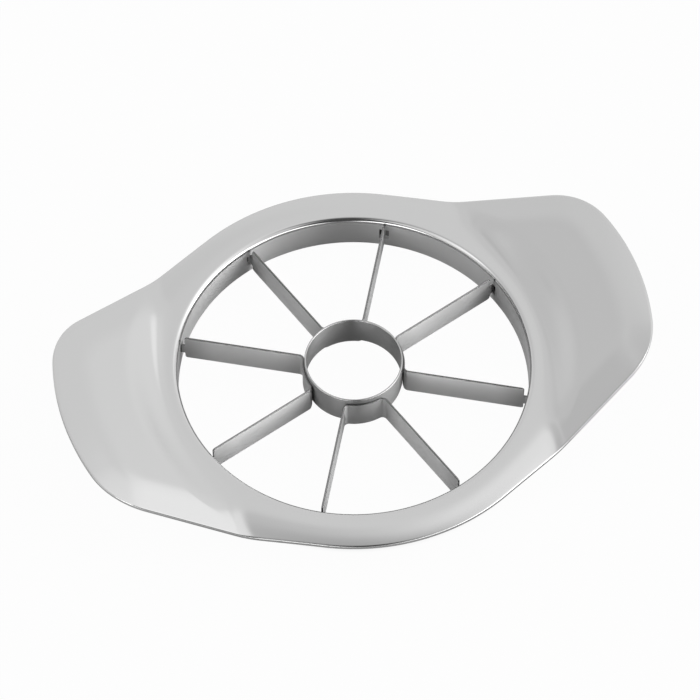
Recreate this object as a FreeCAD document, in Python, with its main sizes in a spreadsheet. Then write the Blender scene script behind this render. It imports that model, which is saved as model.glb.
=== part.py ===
import FreeCAD, Part
import math
import os

import Sketcher
from FreeCAD import Placement, Rotation, Vector

# Apple slicer: one pressed steel frame with two wing grips and a drawn collar, a core ring in
# the middle, and four U-shaped blade strips that hug the ring and hook into the collar's slots.
#
# Frame of the part: +Z up, X along the wings, origin on the collar's axis in the plane of the
# collar's lower rim. All lengths are in millimetres and all angles in degrees.

SIZES = [
    # The pressed frame, seen from above
    ("overall_length", 161.4, "tip to tip over both wings"),
    ("body_width", 115.4, "across the round middle of the frame"),
    ("side_angle", 25.7, "slant of the straight sides that join the middle to the wings"),
    ("corner_radius", 20.5, "outline radius at each wing's two corners"),
    ("tip_radius", 72.0, "outline radius of each wing's end"),
    # The sheet and its form, seen from the side
    ("sheet_thickness", 1.2, "thickness of the pressed sheet"),
    ("bend_line", 40.5, "distance from the axis to the line where each wing starts to rise"),
    ("bend_radius", 17.5, "radius of the bend there, on the top face"),
    ("wing_angle", 18.6, "rise of the wings"),
    ("ease_line", 68.5, "distance from the axis to where the wing starts to level out"),
    ("ease_radius", 72.0, "radius of that levelling"),
    ("land_width", 1.4, "flat land outside the rim bend"),
    ("land_blend", 11.0, "width over which the wing's rise and the border's slope take over"),
    ("border_width", 8.4, "width of the border that is turned down all round"),
    ("border_angle", 7.2, "slope of that border against the sheet inside it"),
    ("border_bend", 5.0, "width of the soft bend between the two"),
    # The drawn collar
    ("opening_diameter", 95.0, "inside diameter of the collar"),
    ("collar_height", 10.4, "lower rim of the collar to the flat land's top face"),
    ("collar_wall", 1.0, "wall of the drawn collar"),
    ("rim_bend", 1.4, "bend radius from the land into the collar"),
    ("rim_chamfer", 0.2, "edge break on both sides of the collar's lower rim"),
    # The slots in the collar
    ("slot_width", 2.7, "width of each slot round the collar"),
    ("slot_height", 3.8, "height of each slot"),
    ("slot_level", 5.0, "height of the slots' centres above the lower rim"),
    # The core ring
    ("core_bore", 25.5, "inside diameter of the core ring"),
    ("core_wall", 0.55, "wall of the core ring"),
    ("core_height", 9.4, "height of the core ring"),
    ("core_lift", 2.3, "core ring's cutting edge above the collar's lower rim"),
    # The blade strips
    ("strip_count", 4, "number of U-shaped strips"),
    ("spider_turn", -5.0, "turn of the strips' pattern against the wings' axis"),
    ("leg_half_angle", 23.45, "angle from a strip's middle to each of its two legs"),
    ("strip_thickness", 0.5, "thickness of the strip"),
    ("strip_height", 9.2, "height of the strip"),
    ("strip_lift", 0.95, "strip's cutting edge above the collar's lower rim"),
    ("strip_bend", 1.2, "inside radius of the bend from a leg to the part round the core ring"),
    ("weld_gap", 0.02, "joint between the strip and the core ring"),
    ("bevel_height", 1.1, "height of the ground cutting bevel on strips and ring"),
    ("edge_thickness", 0.12, "steel left at the cutting edge"),
    ("end_gap", 1.0, "gap from a leg's shoulder to the collar's inside"),
    ("shoulder_round", 0.7, "rounding of the leg's two shoulders"),
    ("tab_clearance", 0.2, "tab to slot, above and below"),
    ("fold_radius", 0.5, "inside radius of the fold behind the collar"),
    ("fold_length", 3.4, "flat length of the folded tab"),
    ("fold_gap", 0.03, "folded tab to the collar's outside"),
]

# The double-curved sheet is a cubic spline surface whose control points lie on rings round the
# axis. The innermost rings lie in the land's plane, at these distances from the rim bend, so
# that the sheet is exactly flat where it meets the bend.
LAND_RINGS = (-3.0, -1.0, 0.4, 2.0)
SLOPE_RINGS = 8
RING_POINTS = 72
# How far cutting tools reach past what they cut.
OVERSHOOT = 6.0
POINT_TOLERANCE = 0.02

os.makedirs("parts", exist_ok=True)
doc = FreeCAD.newDocument("apple_slicer")

sheet = doc.addObject("Spreadsheet::Sheet", "Sizes")
for row, (alias, number, meaning) in enumerate(SIZES, start=1):
    sheet.set(f"A{row}", alias)
    sheet.set(f"B{row}", str(number))
    sheet.set(f"C{row}", meaning)
    sheet.setAlias(f"B{row}", alias)
doc.recompute()


def size(alias):
    """Value of one driving dimension."""
    return float(getattr(sheet, alias))


def bind(target, path, formula):
    """Tie a property to the driving dimensions."""
    target.setExpression(path, formula)


# ---------------------------------------------------------------- sketch helpers

def origin_plane(body, role):
    """The body's own XY_Plane, XZ_Plane or YZ_Plane."""
    return next(item for item in body.Origin.OriginFeatures if item.Role == role)


def new_body(name):
    body = doc.addObject("PartDesign::Body", name)
    body.Label = name
    return body


def new_sketch(body, name, role):
    sketch = body.newObject("Sketcher::SketchObject", name)
    sketch.AttachmentSupport = (origin_plane(body, role), [""])
    sketch.MapMode = "FlatFace"
    return sketch


def dimension(sketch, name, formula, kind, *arguments):
    """Add a named dimension and tie it to the driving dimensions."""
    index = sketch.addConstraint(Sketcher.Constraint(kind, *arguments))
    sketch.renameConstraint(index, name)
    bind(sketch, f"Constraints.{name}", formula)


def arc(centre, radius, start, end):
    """Arc that runs anticlockwise between two angles in radians."""
    circle = Part.Circle(Vector(centre.x, centre.y, 0), Vector(0, 0, 1), radius)
    return Part.ArcOfCircle(circle, start, end)


def polygon(sketch, points):
    """Closed outline of straight lines; returns the index of its first line."""
    first = sketch.GeometryCount
    for start, end in zip(points, points[1:] + points[:1]):
        sketch.addGeometry(Part.LineSegment(start, end), False)
    count = len(points)
    for step in range(count):
        here = first + step
        following = first + (step + 1) % count
        sketch.addConstraint(Sketcher.Constraint("Coincident", here, 2, following, 1))
    return first


def rectangle(sketch, prefix, low, high, formulas):
    """Rectangle along the sketch's axes, placed by the distances of its two corners."""
    first = polygon(sketch, [low, Vector(high.x, low.y, 0), high, Vector(low.x, high.y, 0)])
    for side, kind in enumerate(("Horizontal", "Vertical", "Horizontal", "Vertical")):
        sketch.addConstraint(Sketcher.Constraint(kind, first + side))
    left, bottom, right, top = formulas
    dimension(sketch, prefix + "_left", left, "DistanceX", -1, 1, first, 1, low.x)
    dimension(sketch, prefix + "_bottom", bottom, "DistanceY", -1, 1, first, 1, low.y)
    dimension(sketch, prefix + "_right", right, "DistanceX", -1, 1, first + 1, 2, high.x)
    dimension(sketch, prefix + "_top", top, "DistanceY", -1, 1, first + 1, 2, high.y)


def circle_sketch(body, name, formula, radius):
    sketch = new_sketch(body, name, "XY_Plane")
    sketch.addGeometry(Part.Circle(Vector(0, 0, 0), Vector(0, 0, 1), radius), False)
    sketch.addConstraint(Sketcher.Constraint("Coincident", 0, 3, -1, 1))
    dimension(sketch, "radius", formula, "Radius", 0, radius)
    return sketch


def edges_where(shape, test):
    """Names of the edges whose points all pass a test."""
    names = []
    for number, edge in enumerate(shape.Edges, start=1):
        first, last = edge.ParameterRange
        samples = [edge.valueAt(first + (last - first) * step / 4) for step in range(5)]
        if all(test(point) for point in samples):
            names.append(f"Edge{number}")
    return names


def finish_edges(body, name, kind, extent, base, test, formula, value):
    """Fillet or chamfer every edge of the base feature that passes a test."""
    doc.recompute()
    names = edges_where(base.Shape, test)
    if not names:
        raise RuntimeError(f"{name} found no edges")
    feature = body.newObject(kind, name)
    feature.Base = (base, names)
    setattr(feature, extent, value)
    bind(feature, extent, formula)
    doc.recompute()
    return feature


# ---------------------------------------------------------------- outline of the frame

class Outline:
    """One quarter of the frame's outline: round middle, straight side, corner, wing end.

    The four pieces are tangent to each other, so the outline is convex and the distance of any
    point from it is the distance from the piece whose normal passes through that point.
    """

    def __init__(self):
        self.middle_radius = size("body_width") / 2
        self.corner_radius = size("corner_radius")
        self.tip_radius = size("tip_radius")
        self.half_length = size("overall_length") / 2
        slant = math.radians(size("side_angle"))
        self.side_direction = Vector(math.cos(slant), -math.sin(slant), 0)
        self.outward = Vector(math.sin(slant), math.cos(slant), 0)
        self.side_start = self.outward * self.middle_radius
        self.tip_centre = Vector(self.half_length - self.tip_radius, 0, 0)
        # The corner's centre is one corner radius inside the straight side, and its distance
        # from the centre of the wing's end is the difference of the two radii.
        start = self.side_start - self.outward * self.corner_radius - self.tip_centre
        along = start.dot(self.side_direction)
        reach = (self.tip_radius - self.corner_radius) ** 2 - start.dot(start)
        side_length = -along + math.sqrt(along ** 2 + reach)
        self.side_end = self.side_start + self.side_direction * side_length
        self.corner_centre = self.side_end - self.outward * self.corner_radius
        across = (self.corner_centre - self.tip_centre).normalize()
        self.tip_end = self.tip_centre + across * self.tip_radius
        self.tip_angle = math.atan2(across.y, across.x)
        self.side_normal_angle = math.atan2(self.outward.y, self.outward.x)

    def reach(self, angle):
        """Distance from the axis to the outline in one direction."""
        ray = Vector(abs(math.cos(angle)), abs(math.sin(angle)), 0)
        slant = math.atan2(ray.y, ray.x)

        def to_circle(centre, radius):
            half = ray.dot(centre)
            return half + math.sqrt(half ** 2 - centre.dot(centre) + radius ** 2)

        if slant >= math.atan2(self.side_start.y, self.side_start.x):
            return self.middle_radius
        if slant >= math.atan2(self.side_end.y, self.side_end.x):
            return self.side_start.dot(self.outward) / ray.dot(self.outward)
        if slant >= math.atan2(self.tip_end.y, self.tip_end.x):
            return to_circle(self.corner_centre, self.corner_radius)
        return to_circle(self.tip_centre, self.tip_radius)

    def inside(self, x, y):
        """Distance inside the outline, negative outside it."""
        point = Vector(abs(x), abs(y), 0)
        from_start = (point - self.side_start).dot(self.side_direction)
        from_end = (point - self.side_end).dot(self.side_direction)
        if from_start <= 0:
            return self.middle_radius - point.Length
        if from_end <= 0:
            return (self.side_start - point).dot(self.outward)
        from_corner = point - self.corner_centre
        if math.atan2(from_corner.y, from_corner.x) >= self.tip_angle:
            return self.corner_radius - from_corner.Length
        return self.tip_radius - (point - self.tip_centre).Length


outline = Outline()


# ---------------------------------------------------------------- form of the pressed sheet

def smooth_step(ratio):
    ratio = min(max(ratio, 0.0), 1.0)
    return ratio * ratio * (3 - 2 * ratio)


def wing_rise(distance):
    """Height of the wing's top face over the land at a distance from the cross axis."""
    angle = math.radians(size("wing_angle"))
    run = max(distance - size("bend_line"), 0)
    bend_run = size("bend_radius") * math.sin(angle)
    if run < bend_run:
        rise = size("bend_radius") - math.sqrt(size("bend_radius") ** 2 - run ** 2)
    else:
        rise = size("bend_radius") * (1 - math.cos(angle)) + (run - bend_run) * math.tan(angle)
    levelling = max(distance - size("ease_line"), 0) ** 2 / (2 * size("ease_radius"))
    return rise - levelling


def border_drop(x, y):
    """How far the turned-down border lies below the sheet it continues."""
    slope = math.tan(math.radians(size("border_angle")))
    into_border = size("border_width") - outline.inside(x, y)
    half_bend = size("border_bend") / 2
    if into_border > half_bend:
        return slope * into_border
    return slope * max(into_border + half_bend, 0) ** 2 / (4 * half_bend)


def top_height(x, y):
    """Height of the sheet's top face above the collar's lower rim."""
    from_bend = math.hypot(x, y) - size("opening_diameter") / 2 - size("rim_bend")
    share = smooth_step((from_bend - size("land_width")) / size("land_blend"))
    return size("collar_height") + share * (wing_rise(abs(x)) - border_drop(x, y))


def underside_height(x, y):
    """Height of the sheet's underside, one thickness away square to the top face."""
    step = 0.05
    slope_x = (top_height(x + step, y) - top_height(x - step, y)) / (2 * step)
    slope_y = (top_height(x, y + step) - top_height(x, y - step)) / (2 * step)
    return top_height(x, y) - size("sheet_thickness") * math.sqrt(1 + slope_x ** 2 + slope_y ** 2)


def ring_radius(ring, angle):
    """Distance of a control point from the axis, on one ring and in one direction."""
    bend_edge = size("opening_diameter") / 2 + size("rim_bend")
    if ring < len(LAND_RINGS):
        return bend_edge + LAND_RINGS[ring]
    first = bend_edge + LAND_RINGS[-1]
    share = (ring - len(LAND_RINGS) + 1) / SLOPE_RINGS
    return first + (outline.reach(angle) + OVERSHOOT - first) * share


def height_field(height, land_height):
    """Cubic spline face all round the axis, with its control points taken from a height."""
    degree = 3
    rings = len(LAND_RINGS) + SLOPE_RINGS
    poles = []
    for ring in range(rings):
        points = []
        for step in range(RING_POINTS):
            angle = 2 * math.pi * step / RING_POINTS
            radius = ring_radius(ring, angle)
            x, y = radius * math.cos(angle), radius * math.sin(angle)
            points.append(Vector(x, y, land_height if ring < len(LAND_RINGS) else height(x, y)))
        poles.append(points)
    spans = rings - degree
    surface = Part.BSplineSurface()
    surface.buildFromPolesMultsKnots(
        poles, [degree + 1] + [1] * (spans - 1) + [degree + 1], [1] * (RING_POINTS + 1),
        list(range(spans + 1)), list(range(RING_POINTS + 1)), False, True, degree, degree)
    return surface.toShape()


def pressed_sheet():
    """The formed blank before trimming: everything between the two height fields."""
    top = size("collar_height")
    depth = Vector(0, 0, -4 * top)
    under_top = height_field(top_height, top).extrude(depth)
    underside = height_field(underside_height, top - size("sheet_thickness"))
    return under_top.cut(underside.extrude(depth * 2))


# ---------------------------------------------------------------- the frame

def trim_sketch(body):
    """Waste outside one quarter of the outline."""
    sketch = new_sketch(body, "outline_waste", "XY_Plane")
    far_x = outline.half_length + 2 * OVERSHOOT
    far_y = outline.middle_radius + 2 * OVERSHOOT
    axis = Vector(0, 0, 0)
    quarter = math.pi / 2
    top = Vector(0, outline.middle_radius, 0)
    tip = Vector(outline.half_length, 0, 0)
    tip_corner = Vector(far_x, 0, 0)
    corner = Vector(far_x, far_y, 0)
    top_corner = Vector(0, far_y, 0)
    sketch.addGeometry([
        arc(axis, outline.middle_radius, outline.side_normal_angle, quarter),
        Part.LineSegment(outline.side_start, outline.side_end),
        arc(outline.corner_centre, outline.corner_radius,
            outline.tip_angle, outline.side_normal_angle),
        arc(outline.tip_centre, outline.tip_radius, 0, outline.tip_angle),
        Part.LineSegment(tip, tip_corner),
        Part.LineSegment(tip_corner, corner),
        Part.LineSegment(corner, top_corner),
        Part.LineSegment(top_corner, top),
    ], False)
    middle, side, round_corner, wing_end, bottom, right, upper, left = range(8)
    for constraint in (
        ("Coincident", middle, 3, -1, 1),
        ("PointOnObject", middle, 2, -2),
        ("Tangent", side, 1, middle, 1),
        ("Tangent", side, 2, round_corner, 2),
        ("Tangent", round_corner, 1, wing_end, 2),
        ("PointOnObject", wing_end, 3, -1),
        ("PointOnObject", wing_end, 1, -1),
        ("Coincident", wing_end, 1, bottom, 1),
        ("Coincident", bottom, 2, right, 1),
        ("Coincident", right, 2, upper, 1),
        ("Coincident", upper, 2, left, 1),
        ("Coincident", left, 2, middle, 2),
        ("Horizontal", bottom),
        ("Vertical", right),
        ("Horizontal", upper),
        ("Vertical", left),
    ):
        sketch.addConstraint(Sketcher.Constraint(*constraint))
    dimension(sketch, "middle_radius", "Sizes.body_width / 2", "Radius", middle,
              outline.middle_radius)
    dimension(sketch, "side_angle", "-Sizes.side_angle", "Angle", side,
              -math.radians(size("side_angle")))
    dimension(sketch, "corner_radius", "Sizes.corner_radius", "Radius", round_corner,
              outline.corner_radius)
    dimension(sketch, "tip_radius", "Sizes.tip_radius", "Radius", wing_end, outline.tip_radius)
    dimension(sketch, "half_length", "Sizes.overall_length / 2", "DistanceX", -1, 1, wing_end, 1,
              outline.half_length)
    dimension(sketch, "far_x", f"Sizes.overall_length / 2 + {2 * OVERSHOOT}", "DistanceX",
              -1, 1, right, 1, far_x)
    dimension(sketch, "far_y", f"Sizes.body_width / 2 + {2 * OVERSHOOT}", "DistanceY",
              -1, 1, right, 2, far_y)
    return sketch


def collar_sketch(body):
    """Section of the collar: its wall and the rim bend that runs into the sheet."""
    sketch = new_sketch(body, "collar_section", "XZ_Plane")
    inside = size("opening_diameter") / 2
    outside = inside + size("collar_wall")
    top = size("collar_height")
    under = top - size("sheet_thickness")
    bend_centre = Vector(inside + size("rim_bend"), top - size("rim_bend"), 0)
    wall_top = under - size("rim_bend") + size("collar_wall")
    quarter = math.pi / 2
    sketch.addGeometry([
        Part.LineSegment(Vector(inside, 0, 0), Vector(inside, bend_centre.y, 0)),
        arc(bend_centre, size("rim_bend"), quarter, 2 * quarter),
        Part.LineSegment(Vector(bend_centre.x, top, 0), Vector(bend_centre.x, under, 0)),
        Part.LineSegment(Vector(bend_centre.x, under, 0), Vector(outside, wall_top, 0)),
        Part.LineSegment(Vector(outside, wall_top, 0), Vector(outside, 0, 0)),
        Part.LineSegment(Vector(outside, 0, 0), Vector(inside, 0, 0)),
    ], False)
    bore, bend, joint, hollow, wall, rim = range(6)
    for constraint in (
        ("Tangent", bore, 2, bend, 2),
        ("Perpendicular", bend, 1, joint, 1),
        ("Coincident", joint, 2, hollow, 1),
        ("Coincident", hollow, 2, wall, 1),
        ("Coincident", wall, 2, rim, 1),
        ("Coincident", rim, 2, bore, 1),
        ("Vertical", bore),
        ("Vertical", joint),
        ("Vertical", wall),
        ("PointOnObject", rim, 1, -1),
        ("PointOnObject", rim, 2, -1),
    ):
        sketch.addConstraint(Sketcher.Constraint(*constraint))
    dimension(sketch, "inside", "Sizes.opening_diameter / 2", "DistanceX", -1, 1, bore, 1,
              inside)
    dimension(sketch, "outside", "Sizes.opening_diameter / 2 + Sizes.collar_wall", "DistanceX",
              -1, 1, wall, 2, outside)
    dimension(sketch, "top", "Sizes.collar_height", "DistanceY", -1, 1, joint, 1, top)
    dimension(sketch, "under", "Sizes.collar_height - Sizes.sheet_thickness", "DistanceY",
              -1, 1, joint, 2, under)
    dimension(sketch, "wall_top",
              "Sizes.collar_height - Sizes.sheet_thickness - Sizes.rim_bend + Sizes.collar_wall",
              "DistanceY", -1, 1, wall, 1, wall_top)
    dimension(sketch, "rim_bend", "Sizes.rim_bend", "Radius", bend, size("rim_bend"))
    return sketch


def mirrored(body, name, features, role):
    feature = body.newObject("PartDesign::Mirrored", name)
    feature.Originals = features
    feature.MirrorPlane = (origin_plane(body, role), [""])
    body.Tip = feature
    return feature


def build_frame():
    body = new_body("handle_frame")
    blank = doc.addObject("Part::Feature", "pressed_sheet")
    blank.Shape = pressed_sheet()
    body.BaseFeature = blank
    doc.recompute()

    trim = body.newObject("PartDesign::Pocket", "trim")
    trim.Profile = trim_sketch(body)
    trim.Type = "ThroughAll"
    trim.Midplane = True
    trims = body.newObject("PartDesign::MultiTransform", "trim_all_round")
    trims.Originals = [trim]
    steps = []
    for name, role in (("across", "YZ_Plane"), ("along", "XZ_Plane")):
        step = body.newObject("PartDesign::Mirrored", f"trim_mirror_{name}")
        step.MirrorPlane = (origin_plane(body, role), [""])
        steps.append(step)
    trims.Transformations = steps
    body.Tip = trims
    doc.recompute()

    opening = body.newObject("PartDesign::Pocket", "collar_seat")
    opening.Profile = circle_sketch(body, "collar_seat_outline",
                                    "Sizes.opening_diameter / 2 + Sizes.rim_bend",
                                    size("opening_diameter") / 2 + size("rim_bend"))
    opening.Type = "ThroughAll"
    opening.Midplane = True
    doc.recompute()

    collar = body.newObject("PartDesign::Revolution", "collar")
    collar.Profile = collar_sketch(body)
    collar.ReferenceAxis = (collar.Profile[0], ["V_Axis"])
    collar.Angle = 360
    doc.recompute()

    inside = size("opening_diameter") / 2
    outside = inside + size("collar_wall")

    def on_lower_rim(point):
        radius = math.hypot(point.x, point.y)
        on_wall = min(abs(radius - inside), abs(radius - outside)) < POINT_TOLERANCE
        return on_wall and abs(point.z) < POINT_TOLERANCE

    finish_edges(body, "rim_edges", "PartDesign::Chamfer", "Size", collar, on_lower_rim,
                 "Sizes.rim_chamfer", size("rim_chamfer"))

    slots = []
    for side, sign in (("left", 1), ("right", -1)):
        sketch = new_sketch(body, f"slot_outline_{side}", "YZ_Plane")
        half = size("slot_width") / 2
        low = size("slot_level") - size("slot_height") / 2
        rectangle(sketch, "slot", Vector(-half, low, 0),
                  Vector(half, low + size("slot_height"), 0),
                  ("-Sizes.slot_width / 2", "Sizes.slot_level - Sizes.slot_height / 2",
                   "Sizes.slot_width / 2", "Sizes.slot_level + Sizes.slot_height / 2"))
        turn = size("spider_turn") + sign * size("leg_half_angle")
        sketch.AttachmentOffset = Placement(Vector(0, 0, 0), Rotation(Vector(0, 1, 0), turn))
        bind(sketch, "AttachmentOffset.Rotation.Angle",
             f"Sizes.spider_turn + {sign} * Sizes.leg_half_angle")
        slot = body.newObject("PartDesign::Pocket", f"slot_{side}")
        slot.Profile = sketch
        slot.Reversed = True
        bind(slot, "Length", f"Sizes.opening_diameter / 2 + Sizes.collar_wall + {OVERSHOOT}")
        slots.append(slot)
    pattern = body.newObject("PartDesign::PolarPattern", "slots_all_round")
    pattern.Originals = slots
    pattern.Axis = (next(i for i in body.Origin.OriginFeatures if i.Role == "Z_Axis"), [""])
    pattern.Angle = 360
    bind(pattern, "Occurrences", "Sizes.strip_count")
    body.Tip = pattern
    doc.recompute()
    return body


# ---------------------------------------------------------------- the core ring

def bevelled_section(sketch, middle, middle_formula, thickness, wall, low, lift, height_alias):
    """Upright section with a cutting edge: flat top, two straight faces, two bevels."""
    half = thickness / 2
    edge = size("edge_thickness") / 2
    bevel = low + size("bevel_height")
    high = low + size(height_alias)
    polygon(sketch, [
        Vector(middle - edge, low, 0),
        Vector(middle + edge, low, 0),
        Vector(middle + half, bevel, 0),
        Vector(middle + half, high, 0),
        Vector(middle - half, high, 0),
        Vector(middle - half, bevel, 0),
    ])
    cutting, bevel_out, face_out, top, face_in, bevel_in = range(6)
    for kind, line in (("Horizontal", cutting), ("Vertical", face_out), ("Horizontal", top),
                       ("Vertical", face_in)):
        sketch.addConstraint(Sketcher.Constraint(kind, line))
    dimension(sketch, "edge_in", f"{middle_formula} - Sizes.edge_thickness / 2",
              "DistanceX", -1, 1, cutting, 1, middle - edge)
    dimension(sketch, "edge_out", f"{middle_formula} + Sizes.edge_thickness / 2",
              "DistanceX", -1, 1, cutting, 2, middle + edge)
    dimension(sketch, "face_out", f"{middle_formula} + {wall} / 2",
              "DistanceX", -1, 1, face_out, 1, middle + half)
    dimension(sketch, "face_in", f"{middle_formula} - {wall} / 2",
              "DistanceX", -1, 1, face_in, 1, middle - half)
    dimension(sketch, "lift", lift, "DistanceY", -1, 1, cutting, 1, low)
    dimension(sketch, "bevel_out", f"{lift} + Sizes.bevel_height",
              "DistanceY", -1, 1, face_out, 1, bevel)
    dimension(sketch, "bevel_in", f"{lift} + Sizes.bevel_height",
              "DistanceY", -1, 1, face_in, 2, bevel)
    dimension(sketch, "top", f"{lift} + Sizes.{height_alias}",
              "DistanceY", -1, 1, top, 1, high)


def build_core_ring():
    body = new_body("core_ring")
    section = new_sketch(body, "ring_section", "XZ_Plane")
    bevelled_section(section, (size("core_bore") + size("core_wall")) / 2,
                     "(Sizes.core_bore + Sizes.core_wall) / 2",
                     size("core_wall"), "Sizes.core_wall", size("core_lift"),
                     "Sizes.core_lift", "core_height")
    ring = body.newObject("PartDesign::Revolution", "ring")
    ring.Profile = section
    ring.ReferenceAxis = (section, ["V_Axis"])
    ring.Angle = 360
    doc.recompute()
    return body


# ---------------------------------------------------------------- the blade strips

CORE_OUTSIDE = "(Sizes.core_bore / 2 + Sizes.core_wall)"
HUG_RADIUS = f"({CORE_OUTSIDE} + Sizes.weld_gap + Sizes.strip_thickness / 2)"
FOLD_DISTANCE = ("(Sizes.opening_diameter / 2 + Sizes.collar_wall + Sizes.fold_gap"
                 " + Sizes.strip_thickness / 2)")


def strip_path(body):
    """Middle line of half a strip: round the core ring, out along a leg, round behind the collar."""
    sketch = new_sketch(body, "strip_path", "XY_Plane")
    half = size("strip_thickness") / 2
    hug = size("core_bore") / 2 + size("core_wall") + size("weld_gap") + half
    bend = size("strip_bend") + half
    fold = size("fold_radius") + half
    back = size("opening_diameter") / 2 + size("collar_wall") + size("fold_gap") + half
    leg = math.radians(size("leg_half_angle"))
    out = Vector(math.cos(leg), math.sin(leg), 0)
    across = Vector(-math.sin(leg), math.cos(leg), 0)
    turn = leg - math.asin(bend / (hug + bend))
    bend_centre = Vector(math.cos(turn), math.sin(turn), 0) * (hug + bend)
    leg_start = bend_centre + across * bend
    fold_centre = out * (back - fold) - across * fold
    tab_start = fold_centre + out * fold
    tab_end = tab_start - across * size("fold_length")
    sketch.addGeometry([
        arc(Vector(0, 0, 0), hug, 0, turn),
        arc(bend_centre, bend, leg + math.pi / 2, turn + math.pi),
        Part.LineSegment(leg_start, out * (back - fold)),
        arc(fold_centre, fold, leg, leg + math.pi / 2),
        Part.LineSegment(tab_start, tab_end),
    ], False)
    round_core, round_bend, straight, round_fold, tab = range(5)
    for constraint in (
        ("Coincident", round_core, 3, -1, 1),
        ("PointOnObject", round_core, 1, -1),
        ("Tangent", round_core, 2, round_bend, 2),
        ("Tangent", round_bend, 1, straight, 1),
        ("Tangent", straight, 2, round_fold, 2),
        ("Tangent", round_fold, 1, tab, 1),
        ("PointOnObject", -1, 1, straight),
        ("Perpendicular", straight, tab),
    ):
        sketch.addConstraint(Sketcher.Constraint(*constraint))
    dimension(sketch, "hug_radius", HUG_RADIUS, "Radius", round_core, hug)
    dimension(sketch, "bend_radius", "Sizes.strip_bend + Sizes.strip_thickness / 2",
              "Radius", round_bend, bend)
    dimension(sketch, "fold_radius", "Sizes.fold_radius + Sizes.strip_thickness / 2",
              "Radius", round_fold, fold)
    dimension(sketch, "leg_angle", "Sizes.leg_half_angle", "Angle", straight, leg)
    dimension(sketch, "fold_distance", FOLD_DISTANCE, "Distance", -1, 1, tab, back)
    dimension(sketch, "fold_length", "Sizes.fold_length", "Distance", tab, size("fold_length"))
    return sketch


def notch_sketch(body):
    """What is cut from a leg's end, above and below the tab that goes through the slot."""
    sketch = new_sketch(body, "end_notches", "XZ_Plane")
    shoulder = size("opening_diameter") / 2 - size("end_gap")
    far = shoulder + 2 * OVERSHOOT
    tab_low = size("slot_level") - size("slot_height") / 2 + size("tab_clearance")
    tab_high = size("slot_level") + size("slot_height") / 2 - size("tab_clearance")
    bottom = size("strip_lift") - OVERSHOOT
    top = size("strip_lift") + size("strip_height") + OVERSHOOT
    start = "Sizes.opening_diameter / 2 - Sizes.end_gap"
    reach = f"{start} + {2 * OVERSHOOT}"
    rectangle(sketch, "lower", Vector(shoulder, bottom, 0), Vector(far, tab_low, 0),
              (start, f"Sizes.strip_lift - {OVERSHOOT}", reach,
               "Sizes.slot_level - Sizes.slot_height / 2 + Sizes.tab_clearance"))
    rectangle(sketch, "upper", Vector(shoulder, tab_high, 0), Vector(far, top, 0),
              (start, "Sizes.slot_level + Sizes.slot_height / 2 - Sizes.tab_clearance", reach,
               f"Sizes.strip_lift + Sizes.strip_height + {OVERSHOOT}"))
    sketch.AttachmentOffset = Placement(Vector(0, 0, 0),
                                        Rotation(Vector(0, 1, 0), size("leg_half_angle")))
    bind(sketch, "AttachmentOffset.Rotation.Angle", "Sizes.leg_half_angle")
    return sketch


def build_strip(number):
    body = new_body(f"blade_strip_{number}")
    half_thickness = size("strip_thickness") / 2
    hug = size("core_bore") / 2 + size("core_wall") + size("weld_gap") + half_thickness
    section = new_sketch(body, "strip_section", "XZ_Plane")
    bevelled_section(section, hug, HUG_RADIUS, size("strip_thickness"), "Sizes.strip_thickness",
                     size("strip_lift"), "Sizes.strip_lift", "strip_height")
    path = strip_path(body)
    doc.recompute()

    half_strip = body.newObject("PartDesign::AdditivePipe", "half_strip")
    half_strip.Profile = section
    half_strip.Spine = (path, [f"Edge{count}" for count in range(1, 6)])
    doc.recompute()

    notches = body.newObject("PartDesign::Pocket", "notches")
    notches.Profile = notch_sketch(body)
    notches.Midplane = True
    bind(notches, "Length", "4 * (Sizes.fold_length + Sizes.fold_radius + Sizes.strip_thickness)")
    doc.recompute()

    whole = mirrored(body, "whole_strip", [half_strip, notches], "XZ_Plane")
    doc.recompute()

    leg = math.radians(size("leg_half_angle"))
    shoulder = size("opening_diameter") / 2 - size("end_gap")
    low = size("strip_lift")
    high = low + size("strip_height")

    def on_shoulder_corner(point):
        along = point.x * math.cos(leg) + abs(point.y) * math.sin(leg)
        at_height = min(abs(point.z - low), abs(point.z - high)) < POINT_TOLERANCE
        return abs(along - shoulder) < POINT_TOLERANCE and at_height

    finish_edges(body, "shoulders", "PartDesign::Fillet", "Radius", whole, on_shoulder_corner,
                 "Sizes.shoulder_round", size("shoulder_round"))

    share = 360 / size("strip_count")
    body.Placement = Placement(Vector(0, 0, 0),
                               Rotation(Vector(0, 0, 1), size("spider_turn") + number * share))
    bind(body, "Placement.Rotation.Angle",
         f"Sizes.spider_turn + {number} * 360 / Sizes.strip_count")
    doc.recompute()
    return body


# ---------------------------------------------------------------- build, check and write

pieces = [build_frame(), build_core_ring()]
pieces += [build_strip(number) for number in range(1, int(size("strip_count")) + 1)]
doc.recompute()

for item in doc.Objects:
    if "Invalid" in item.State or "Error" in item.State:
        raise RuntimeError(f"{item.Name} failed: {item.State}")
for piece in pieces:
    if piece.Shape.isNull() or not piece.Shape.isValid():
        raise RuntimeError(f"{piece.Label} has no valid shape")
    print(piece.Label, "solids", len(piece.Shape.Solids), "volume", round(piece.Shape.Volume, 1))
for piece in pieces:
    piece.Shape.exportStep(f"parts/{piece.Label}.step")
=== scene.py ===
"""Looks of an apple slicer pressed from stainless steel.

The slicer is one pressed frame with two wing grips and a drawn collar, a core ring, and four
U-shaped blade strips that hug the ring and hook through slots in the collar. Every piece is a
surface worked out from its sizes, in metres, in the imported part's own frame: +Z up, X along the
wings, origin on the collar's axis in the plane of its lower rim.
"""

import math

import bpy
import numpy as np
from mathutils import Matrix, Vector


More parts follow.
